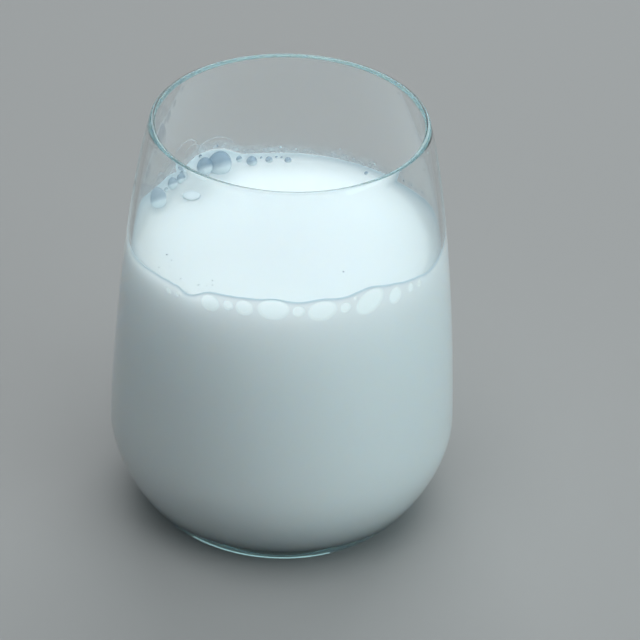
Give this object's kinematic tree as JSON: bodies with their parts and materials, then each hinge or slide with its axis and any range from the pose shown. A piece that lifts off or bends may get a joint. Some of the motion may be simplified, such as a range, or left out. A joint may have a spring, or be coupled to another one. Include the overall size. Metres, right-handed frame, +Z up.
{
  "type": "glass of milk",
  "caption": "Stemless round-bellied drinking glass, two thirds full of white milk with bubbles along its edge.",
  "frame": {"origin": "centre of the foot, on the surface that the glass stands on", "axes": "+Z up along the axis that the glass is turned on; -Y towards the viewer's side, where the row of larger bubbles lies"},
  "size_m": [0.0928, 0.0928, 0.115],
  "materials": {
    "clear_glass": "clear, polished",
    "milk": "opaque cool white liquid",
    "milk_film": "thin milky film of a bubble"
  },
  "bodies": {
    "root": {"glass": "clear_glass", "milk": "milk", "bubbles": "milk_film"}
  },
  "joints": []
}
